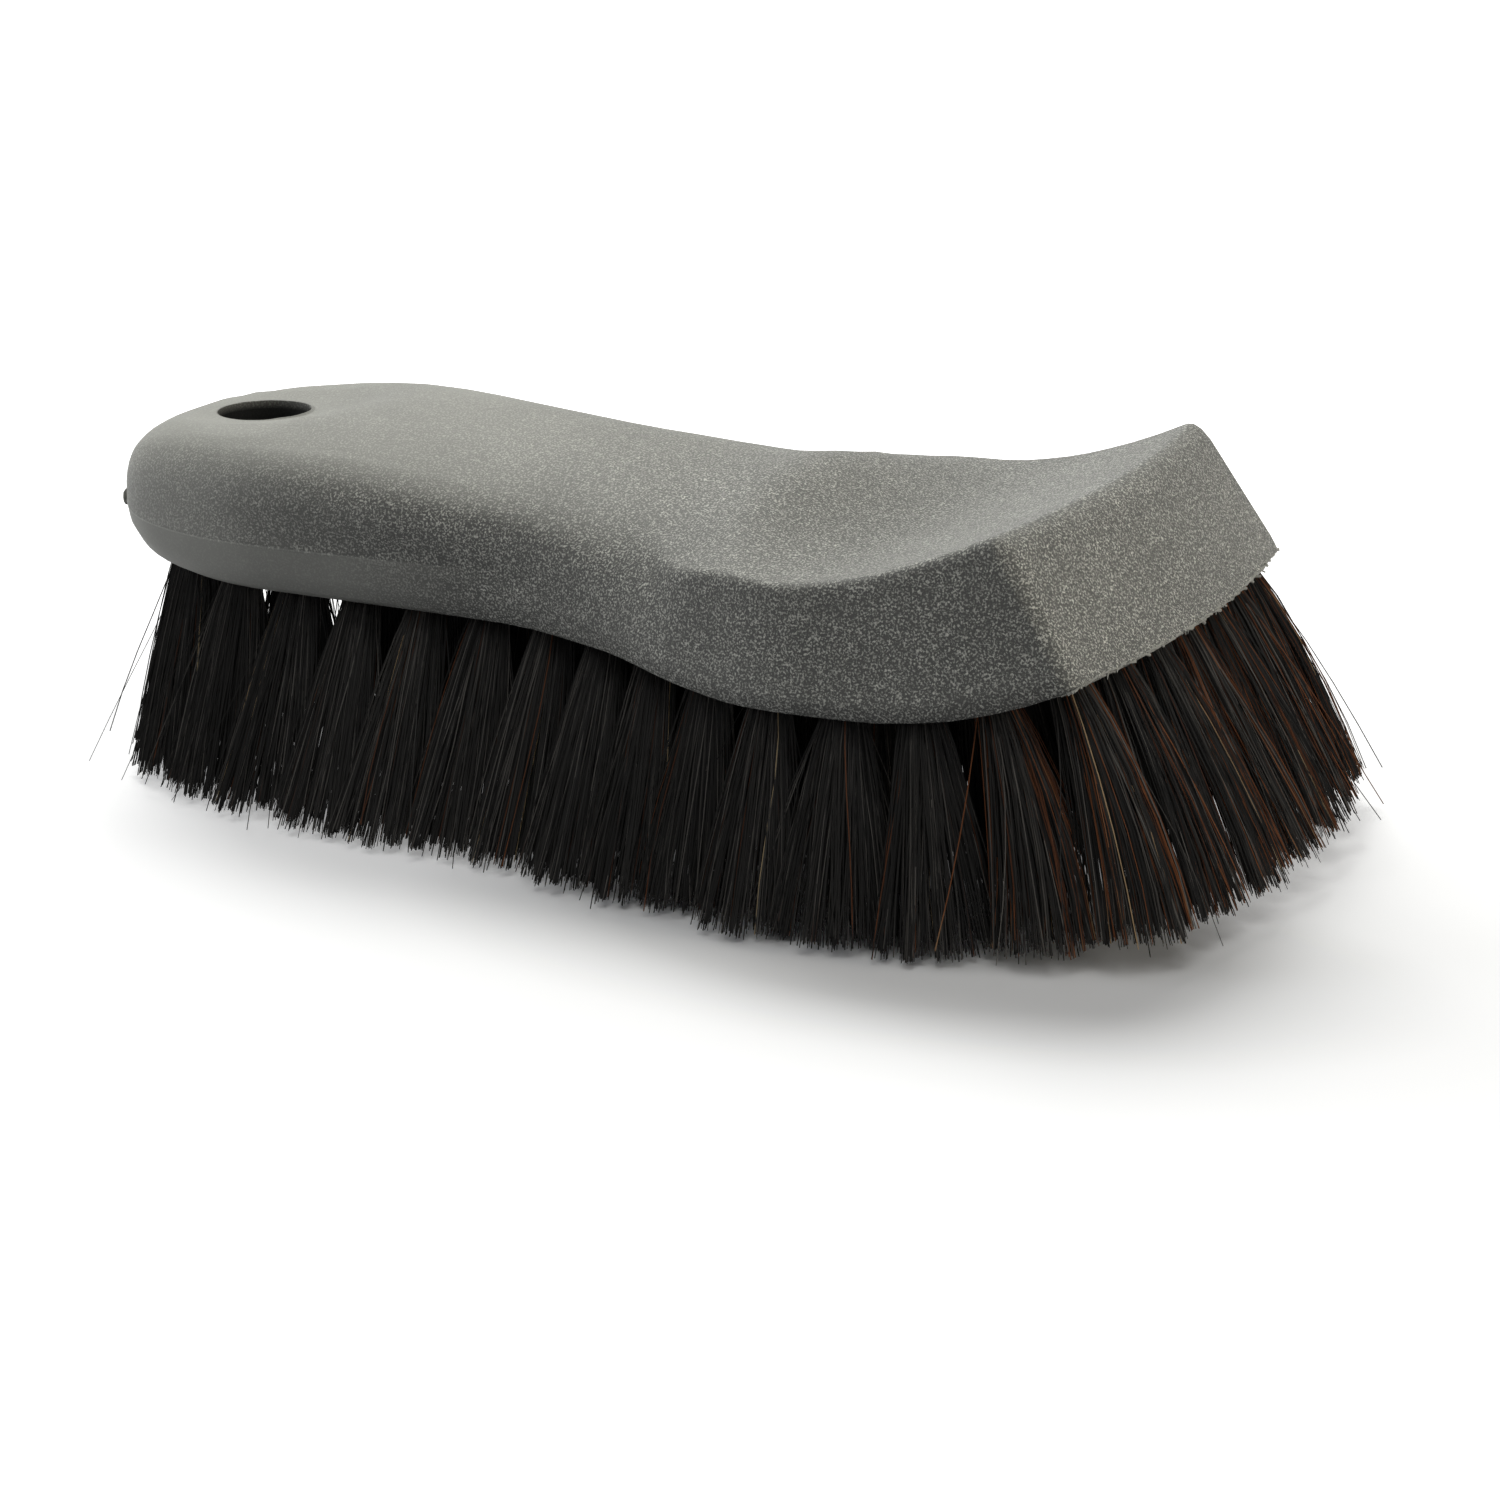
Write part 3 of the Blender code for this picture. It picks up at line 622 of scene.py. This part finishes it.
def fan_widths():
    """Half width of every tuft along the rim."""
    names = sorted(tuft_lines)
    rim = names[:RIM_TUFTS]
    widths = {name: TIP_SPREAD for name in names}
    for i, name in enumerate(rim):
        tips = tuft_lines[name][2]
        before = np.linalg.norm(tuft_lines[rim[i - 1]][2] - tips)
        after = np.linalg.norm(tuft_lines[rim[(i + 1) % RIM_TUFTS]][2] - tips)
        widths[name] = min(max(SHARE_OF_PITCH * (before + after) / 2, TIP_SPREAD), WIDEST)
    return widths


fans = fan_widths()
narrowest, widest = (round(v / MM, 1) for v in (min(fans.values()), max(fans.values())))
print("tufts fan out by", narrowest, "to", widest, "mm")

# %% [markdown]
# Hairs cling to each other in locks, and the locks give a tuft its streaks and its
# spiky trim. So each hair first picks a lock, and keeps the same place in it from
# root to tip with a little disorder. Some hairs belong to no lock, and a very few
# fly away from the tuft.

# %% Locks in a tuft
HAIRS_PER_TUFT = 520
LOCKS_PER_TUFT = 38
LOCK_SIZE = 0.34 * MM
LOOSE_SHARE = 0.3
STRAY_SHARE = 0.012
STRAY_REACH = 1.9
ROOT_SPREAD = 2.4 * MM
ROOT_ORDER = 0.72
ROOT_DISORDER = 0.33
LEAST_LEAN = 1 * MM


def disc(rng, count):
    """Points spread evenly over a disc of radius 1."""
    turn = rng.uniform(0, 2 * math.pi, count)
    out = np.sqrt(rng.uniform(0, 1, count))
    return np.stack([out * np.cos(turn), out * np.sin(turn)], axis=1)


def places_in_tuft(rng):
    """Lock of every hair, and its place across the tuft at the root and at the tip."""
    locks = disc(rng, LOCKS_PER_TUFT)
    lock = rng.integers(0, LOCKS_PER_TUFT, HAIRS_PER_TUFT)
    loose = rng.uniform(0, 1, HAIRS_PER_TUFT) < LOOSE_SHARE
    centre = np.where(loose[:, None], disc(rng, HAIRS_PER_TUFT), locks[lock])
    at_root = ROOT_ORDER * centre + ROOT_DISORDER * disc(rng, HAIRS_PER_TUFT)
    at_tip = centre * (TIP_SPREAD - LOCK_SIZE) + rng.normal(0, LOCK_SIZE, (HAIRS_PER_TUFT, 2))
    stray = rng.uniform(0, 1, HAIRS_PER_TUFT) < STRAY_SHARE
    at_tip = np.where(stray[:, None], at_tip * STRAY_REACH, at_tip)
    return lock, at_root * ROOT_SPREAD, at_tip


def widen(at_tip, lean, width):
    """Tips stretched along the rim, at right angles to the way the tuft leans."""
    reach = math.hypot(lean[0], lean[1])
    if reach < LEAST_LEAN:
        return at_tip
    along = np.array([-lean[1], lean[0]]) / reach
    return at_tip + np.outer(at_tip @ along, along) * (width / TIP_SPREAD - 1)


print(HAIRS_PER_TUFT, "hairs in", LOCKS_PER_TUFT, "locks for each tuft")

# %% [markdown]
# A hair leaves the hole in the direction of the hole and ends at its own tip. A
# curve with one control point joins the two. On top of that it bows a little and
# sways, and the trim is not quite even. Stray hairs may pass the CAD box a little,
# but no further than a few millimetres.

# %% Paths of the hairs
START_INSIDE = 1.6 * MM
FIRST_RUN = 0.45
EARLY_FAN = 0.45
BOW = 0.55 * MM
SWAY = 0.16 * MM
UNEVEN_LOCK = 1.0 * MM
UNEVEN_HAIR = 0.4 * MM
TIP_CLEARANCE = 0.15 * MM
STRAY_ROOM = np.array((4.5, 2.4)) * MM
NEAREST = np.array(cad_box[0][:2]) - STRAY_ROOM
FARTHEST = np.array(cad_box[1][:2]) + STRAY_ROOM


def hair_ends(tips, at_tip, lock, rng):
    """Where each hair ends. A long hair reaches the floor, a short one stops above it."""
    end = np.tile(tips, (HAIRS_PER_TUFT, 1))
    end[:, :2] = np.clip(end[:, :2] + at_tip, NEAREST, FARTHEST)
    lock_height = np.abs(rng.normal(0, UNEVEN_LOCK, LOCKS_PER_TUFT))[lock]
    end[:, 2] += TIP_CLEARANCE + lock_height + np.abs(rng.normal(0, UNEVEN_HAIR, HAIRS_PER_TUFT))
    return end


def hair_paths(line, width, rng):
    """Points of every hair of a tuft, as an array of hair, level and x, y, z, and its lock."""
    mouth, axis, tips = line
    lock, at_root, at_tip = places_in_tuft(rng)
    at_tip = widen(at_tip, tips - mouth, width)
    start = np.tile(mouth - axis * START_INSIDE, (HAIRS_PER_TUFT, 1))
    start[:, :2] += at_root
    end = hair_ends(tips, at_tip, lock, rng)
    length = np.linalg.norm(end - start, axis=1)[:, None]
    bend = start + axis * FIRST_RUN * length
    bend[:, :2] += at_tip * EARLY_FAN + rng.normal(0, BOW, (HAIRS_PER_TUFT, 2))
    t = np.linspace(0, 1, HAIR_LEVELS)[None, :, None]
    path = (1 - t) ** 2 * start[:, None] + 2 * t * (1 - t) * bend[:, None] + t**2 * end[:, None]
    sway = rng.normal(0, SWAY, (HAIRS_PER_TUFT, 1, 2))
    path[:, :, :2] += np.sin(2 * math.pi * t) * sway
    return path, lock


print("hairs may pass the CAD box by", [round(v / MM, 1) for v in STRAY_ROOM], "mm")

# %% [markdown]
# Each lock has its own darkness, and a few hairs are painted grey as highlights, which
# gives the streaks. Chestnut hairs are rare on the sides. In the front rows whole locks
# are chestnut. Some hairs are painted paler near the root as a painted sheen, and the
# cut ends are a little paler, because there the light gets into the hair.
# Where a value has two numbers for the sides and the front, the front is second.

# %% Shades of the hairs
FRONT_STARTS = 50 * MM
LOCK_SHADES = (0, 0.16)
BLACK_SHADES = ((0, 0.1), (0, 0.16))
# painted highlights: a share of hairs is coloured grey as if they caught the light
GREY_HIGHLIGHT_SHARE = 0.14
GREY_HIGHLIGHT_SHADES = (0.28, 0.4)
BROWN_LOCKS = (0.0, 0.24)
BROWN_IN_LOCK = 0.6
BROWN_LOCK_SHADES = (0.5, 0.72)
BROWN_SHARE = (0.02, 0.07)
BROWN_SHADES = ((0.46, 0.6), (0.46, 0.75))
PALE_SHARE = (0.002, 0.008)
PALE_SHADES = (0.85, 1.0)
# painted sheen: some dark hairs are made paler near the root
ROOT_SHEEN_SHARE = 0.3
ROOT_SHEEN_BELOW = 0.25
ROOT_SHEEN_LEVELS = (0.16, 0.13, 0.06)
PALE_END_SHARE = 0.3
PALE_END = 0.12


def repaint(shade, chosen, shades, rng):
    """New shades out of a range for the chosen hairs."""
    return np.where(chosen, rng.uniform(*shades, HAIRS_PER_TUFT), shade)


def plain_shades(front, lock, rng):
    """One shade for each hair."""
    shade = rng.uniform(*LOCK_SHADES, LOCKS_PER_TUFT)[lock]
    shade = shade + rng.uniform(*BLACK_SHADES[front], HAIRS_PER_TUFT)
    kind = rng.uniform(0, 1, HAIRS_PER_TUFT)
    # grey hairs are painted highlights
    shade = repaint(shade, kind > 1 - GREY_HIGHLIGHT_SHARE, GREY_HIGHLIGHT_SHADES, rng)
    brown = (rng.uniform(0, 1, LOCKS_PER_TUFT) < BROWN_LOCKS[front])[lock]
    shade = repaint(shade, brown & (kind < BROWN_IN_LOCK), BROWN_LOCK_SHADES, rng)
    shade = repaint(shade, kind < BROWN_SHARE[front], BROWN_SHADES[front], rng)
    return repaint(shade, kind < PALE_SHARE[front], PALE_SHADES, rng)


def hair_shades(line, lock, rng):
    """Shade of every hair at every level, with painted sheen near some roots and pale ends."""
    shade = plain_shades(int(line[0][0] > FRONT_STARTS), lock, rng)
    levels = np.tile(shade[:, None], (1, HAIR_LEVELS))
    # painted sheen added to the first levels of some dark hairs
    root_sheen = (rng.uniform(0, 1, HAIRS_PER_TUFT) < ROOT_SHEEN_SHARE) & (shade < ROOT_SHEEN_BELOW)
    levels[:, :len(ROOT_SHEEN_LEVELS)] += np.where(root_sheen, 1.0, 0.0)[:, None] * np.array(ROOT_SHEEN_LEVELS)
    cut = rng.uniform(0, 1, HAIRS_PER_TUFT) < PALE_END_SHARE
    levels[:, -1] += np.where(cut, PALE_END, 0.0)
    return np.clip(levels, 0, 1)


print("chestnut locks: share", BROWN_LOCKS[0], "on the sides and", BROWN_LOCKS[1], "in front")

# %% [markdown]
# The hairs of a tuft become one mesh. The template is added once per hair, and
# then all the rings are moved onto the paths in one go, which is much quicker than
# bending hair after hair. Each hair thins a little towards its tip.

# %% Tufts of hair
HAIR_RADIUS = 0.082 * MM
HAIR_SIZES = (0.75, 1.25)
TIP_SIZE = 0.85


def dress_hairs(name, path, shades, rng):
    """One mesh of hairs that follow the paths."""
    count = len(path)
    bm = bmesh.new()
    for _ in range(count):
        bm.from_mesh(hair_template)
    piece = link_piece(name, bm, hair_material)
    corner = np.linspace(0, 2 * math.pi, HAIR_SIDES, endpoint=False)
    ring = np.stack([np.cos(corner), np.sin(corner), np.zeros(HAIR_SIDES)], axis=1)
    thickness = HAIR_RADIUS * rng.uniform(*HAIR_SIZES, (count, 1, 1, 1))
    taper = np.linspace(1.0, TIP_SIZE, HAIR_LEVELS)[None, :, None, None]
    points = path[:, :, None, :] + ring[None, None, :, :] * thickness * taper
    piece.data.vertices.foreach_set("co", points.reshape(-1))
    shade = piece.data.attributes.new("hair_shade", "FLOAT", "POINT")
    shade.data.foreach_set("value", np.repeat(shades.reshape(-1), HAIR_SIDES))
    piece.data.update()
    return piece


def make_tuft(name, number):
    """Visual tuft that takes the place of a CAD tuft."""
    rng = np.random.default_rng(number)
    path, lock = hair_paths(tuft_lines[name], fans[name], rng)
    shades = hair_shades(tuft_lines[name], lock, rng)
    piece = dress_hairs(name.replace("hair_tuft", "tuft_hairs"), path, shades, rng)
    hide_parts(name)
    return piece


tufts = [make_tuft(name, number) for number, name in enumerate(sorted(tuft_lines), 1)]
print(len(tufts) * HAIRS_PER_TUFT, "hairs in", len(tufts), "tufts")

# %% [markdown]
# The floor is plain and pale. Far from the brush it glows white to the camera, as the
# paper of a studio does. Near the brush the glow fades out in an oval set towards the
# front and near side: a painted shadow on top of the lamps' shadow. Light that bounces
# off the floor meets a darker grey, because the photo's brush stood on a small table,
# not on a wide one.

# %% Floor
FLOOR_REACH = 4.0
FLOOR_DROP = 0.1 * MM
FLOOR_ROUGHNESS = 0.9
FLOOR_SEEN = (0.82, 0.825, 0.85, 1)
FLOOR_BOUNCE = (0.21, 0.215, 0.235, 1)
# painted shadow: middle of the oval by the brush where the glow is taken away
PAINTED_SHADOW_MIDDLE = (50 * MM, -40 * MM, 0)
GLOW_OVAL = (0.5, 1, 1)
GLOW_REACH = 300 * MM
GLOW_STOPS = ((0.0, 0.0), (0.065, 0.0), (0.12, 0.25), (0.17, 0.33), (0.33, 0.42), (1.0, 1.0))


def sees_background(tree):
    """1 for camera, glossy and transmission rays."""
    path = add_node(tree, "ShaderNodeLightPath")
    either = combine(tree, "MAXIMUM", (path, "Is Camera Ray"), (path, "Is Glossy Ray"))
    return combine(tree, "MAXIMUM", (either, "Value"), (path, "Is Transmission Ray"))


def glow_with_painted_shadow(tree):
    """How strongly the floor glows, from 0 under the brush to 1 far away: a painted shadow."""
    place = add_node(tree, "ShaderNodeTexCoord")
    centred = vector_math(tree, "SUBTRACT", place, "Object", PAINTED_SHADOW_MIDDLE)
    oval = vector_math(tree, "MULTIPLY", centred, "Vector", GLOW_OVAL)
    away = add_node(tree, "ShaderNodeVectorMath", {"operation": "LENGTH"})
    link(tree, oval, "Vector", away, "Vector")
    share = rescale(tree, away, "Value", 0, GLOW_REACH)
    ramp = add_node(tree, "ShaderNodeValToRGB")
    fill_ramp(ramp, [(position, (level, level, level, 1)) for position, level in GLOW_STOPS])
    link(tree, share, "Result", ramp, "Fac")
    return ramp


def make_floor_paint():
    """Pale paint that glows to the camera away from the brush."""
    material, tree, shader = start_material("pale_floor", FLOOR_ROUGHNESS, 0.0)
    seen = sees_background(tree)
    paint = add_node(tree, "ShaderNodeMix", {"data_type": "RGBA"})
    paint.inputs["A"].default_value = FLOOR_BOUNCE
    paint.inputs["B"].default_value = FLOOR_SEEN
    link(tree, seen, "Value", paint, "Factor")
    link(tree, paint, "Result", shader, "Base Color")
    shader.inputs["Emission Color"].default_value = (1, 1, 1, 1)
    glow = combine(tree, "MULTIPLY", (glow_with_painted_shadow(tree), "Color"), (seen, "Value"))
    link(tree, glow, "Value", shader, "Emission Strength")
    return material


def make_floor():
    """Plain floor under the hair tips."""
    bm = bmesh.new()
    bmesh.ops.create_grid(bm, x_segments=1, y_segments=1, size=FLOOR_REACH)
    mesh = bpy.data.meshes.new("floor")
    bm.to_mesh(mesh)
    bm.free()
    mesh.materials.append(make_floor_paint())
    floor = bpy.data.objects.new("floor", mesh)
    floor.location.z = -FLOOR_DROP
    bpy.context.scene.collection.objects.link(floor)


make_floor()
print("floor", 2 * FLOOR_REACH, "m wide")

# %% [markdown]
# The world is white to the camera and in reflections, and dim to everything
# else, so that it only fills the shadows a little.

# %% World
AMBIENT = 0.05


def make_world():
    """White to the camera, dim to the object."""
    world = bpy.data.worlds.new("studio")
    world.use_nodes = True
    tree = world.node_tree
    sky = tree.nodes["Background"]
    sky.inputs["Color"].default_value = (1, 1, 1, 1)
    level = rescale(tree, sees_background(tree), "Value", 0, 1, AMBIENT, 1)
    link(tree, level, "Result", sky, "Strength")
    bpy.context.scene.world = world


make_world()
print("world fills the shadows with", AMBIENT)

# %% [markdown]
# The shadow in the photo falls towards the viewer and to the right, so the main
# soft lamp stands high behind the tail. A weaker one hangs overhead, a little to
# the viewer's side, and lights the rounded flank of the grip. A warmer lamp low
# off the toe lights the slanted front face, and a faint cool one off the tail
# keeps that end from going dark. The long near side gets little of any of them,
# which makes its grain stand out.

# %% Lamps
LAMP_AIM = Vector((0, 0, 0.03))
LAMP_DISTANCE = 1.5
WHITE = (1, 1, 0.955)
WARM = (1, 0.95, 0.84)
COOL = (0.97, 0.98, 1)
LAMPS = (
    ("key_soft_box", 131, 50, 0.6, 0.68, WHITE),
    ("overhead_soft_box", 290, 72, 0.8, 0.27, WHITE),
    ("toe_soft_box", 5, 11, 0.6, 0.46, WARM),
    ("tail_soft_box", 205, 15, 0.6, 0.26, COOL),
)


def add_lamp(name, turn, height, size, level, tint):
    """Square soft lamp. Turn and height are degrees, level is the tone of white facing it."""
    data = bpy.data.lights.new(name, "AREA")
    data.shape = "SQUARE"
    data.size = size
    data.energy = level * (math.pi * LAMP_DISTANCE) ** 2
    data.color = tint
    lamp = bpy.data.objects.new(name, data)
    around = math.radians(turn)
    rise = math.radians(height)
    way = Vector((
        math.cos(around) * math.cos(rise), math.sin(around) * math.cos(rise), math.sin(rise)))
    lamp.location = LAMP_AIM + way * LAMP_DISTANCE
    lamp.rotation_euler = (-way).to_track_quat("-Z", "Y").to_euler()
    bpy.context.scene.collection.objects.link(lamp)


for lamp in LAMPS:
    add_lamp(*lamp)
print(len(LAMPS), "lamps")

# %% [markdown]
# The camera stands where the photographer stood. These values were found by
# matching the outline of the block with the photo, which is 1500 pixels square.

# %% Camera
PHOTO_PIXELS = 1500
FOCAL_PIXELS = 3995
SENSOR_WIDTH = 36
CAMERA_PLACE = Vector((236.9, -469.2, 168.3)) * MM
CAMERA_TURN = math.radians(26.0)
CAMERA_DOWN = math.radians(17.0)
CAMERA_ROLL = math.radians(-0.6)


def camera_axes():
    """Directions to the right of the camera, above it and behind it."""
    forward = Vector((
        -math.sin(CAMERA_TURN) * math.cos(CAMERA_DOWN),
        math.cos(CAMERA_TURN) * math.cos(CAMERA_DOWN),
        -math.sin(CAMERA_DOWN)))
    right = Vector((math.cos(CAMERA_TURN), math.sin(CAMERA_TURN), 0))
    up = right.cross(forward)
    rolled_right = right * math.cos(CAMERA_ROLL) + up * math.sin(CAMERA_ROLL)
    rolled_up = up * math.cos(CAMERA_ROLL) - right * math.sin(CAMERA_ROLL)
    return rolled_right, rolled_up, -forward


def make_camera():
    """Camera at the photo's viewpoint."""
    data = bpy.data.cameras.new("camera")
    data.sensor_width = SENSOR_WIDTH
    data.lens = FOCAL_PIXELS / PHOTO_PIXELS * data.sensor_width
    data.clip_start = 0.01
    data.clip_end = 20
    camera = bpy.data.objects.new("camera", data)
    turned = Matrix(camera_axes()).transposed().to_4x4()
    camera.matrix_world = Matrix.Translation(CAMERA_PLACE) @ turned
    bpy.context.scene.collection.objects.link(camera)
    bpy.context.scene.camera = camera
    return camera


camera = make_camera()
bpy.context.scene.view_settings.view_transform = "Standard"
print("camera lens", round(camera.data.lens, 1), "mm")
